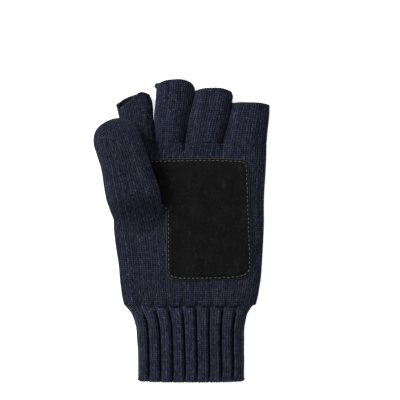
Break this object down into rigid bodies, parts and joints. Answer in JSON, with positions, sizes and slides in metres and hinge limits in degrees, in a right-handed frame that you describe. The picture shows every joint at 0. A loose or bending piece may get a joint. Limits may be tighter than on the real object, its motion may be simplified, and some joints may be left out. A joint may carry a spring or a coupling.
{
  "type": "knitted half-finger glove",
  "caption": "Left-hand knitted wool glove with open half fingers, a closed thumb, a deep ribbed cuff and a stitched suede palm patch.",
  "frame": {"origin": "on the surface that the glove lies on, under the middle of its outline", "axes": "+Z out of the palm, +Y towards the fingertips, +X towards the little finger"},
  "size_m": [0.137, 0.2356, 0.0328],
  "materials": {
    "wool_jersey": "plain knit of heathered navy wool, matt and slightly fuzzy",
    "wool_rib": "deep rib of heathered navy wool, matt",
    "wool_edge": "rolled cast-off edge of navy wool",
    "suede": "black split suede with a short nap",
    "sewing_thread": "grey twisted sewing thread"
  },
  "bodies": {
    "hand": {"hand": "wool_jersey", "palm_patch": "suede", "patch_topstitch": "sewing_thread", "thumb_root": "wool_jersey", "index_finger": "wool_jersey", "middle_finger": "wool_jersey", "ring_finger": "wool_jersey", "little_finger": "wool_jersey"},
    "cuff": {"cuff": "wool_rib", "cuff_cast_on_edge": "wool_edge"},
    "thumb": {"thumb": "wool_jersey"},
    "thumb_tip": {"thumb_tip": "wool_jersey"},
    "index": {"index_finger_end": "wool_jersey", "index_cast_off_edge": "wool_edge"},
    "middle": {"middle_finger_end": "wool_jersey", "middle_cast_off_edge": "wool_edge"},
    "ring": {"ring_finger_end": "wool_jersey", "ring_cast_off_edge": "wool_edge"},
    "little": {"little_finger_end": "wool_jersey", "little_cast_off_edge": "wool_edge"}
  },
  "joints": [
    {"name": "wrist_fold", "type": "hinge", "parent": "hand", "child": "cuff", "pos_m": [0.00625, -0.05815, 0.015], "axis": [-1, 0, 0], "range_deg": [0, 70]},
    {"name": "thumb_lift", "type": "hinge", "parent": "hand", "child": "thumb", "pos_m": [-0.0386, 0.0281, 0.0328], "axis": [0.9655, 0.2603, 0], "range_deg": [0, 60]},
    {"name": "thumb_bend", "type": "hinge", "parent": "thumb", "child": "thumb_tip", "pos_m": [-0.0449, 0.0548, 0.0328], "axis": [0.9659, 0.259, 0], "range_deg": [0, 70]},
    {"name": "index_bend", "type": "hinge", "parent": "hand", "child": "index", "pos_m": [-0.03698, 0.0918, 0.015], "axis": [0.9801, 0.1987, 0], "range_deg": [0, 90]},
    {"name": "middle_bend", "type": "hinge", "parent": "hand", "child": "middle", "pos_m": [-0.00772, 0.09521, 0.015], "axis": [0.9996, 0.0298, 0], "range_deg": [0, 90]},
    {"name": "ring_bend", "type": "hinge", "parent": "hand", "child": "ring", "pos_m": [0.02061, 0.09043, 0.015], "axis": [0.9994, -0.0341, 0], "range_deg": [0, 90]},
    {"name": "little_bend", "type": "hinge", "parent": "hand", "child": "little", "pos_m": [0.05189, 0.08349, 0.015], "axis": [0.9993, -0.0385, 0], "range_deg": [0, 90]}
  ]
}
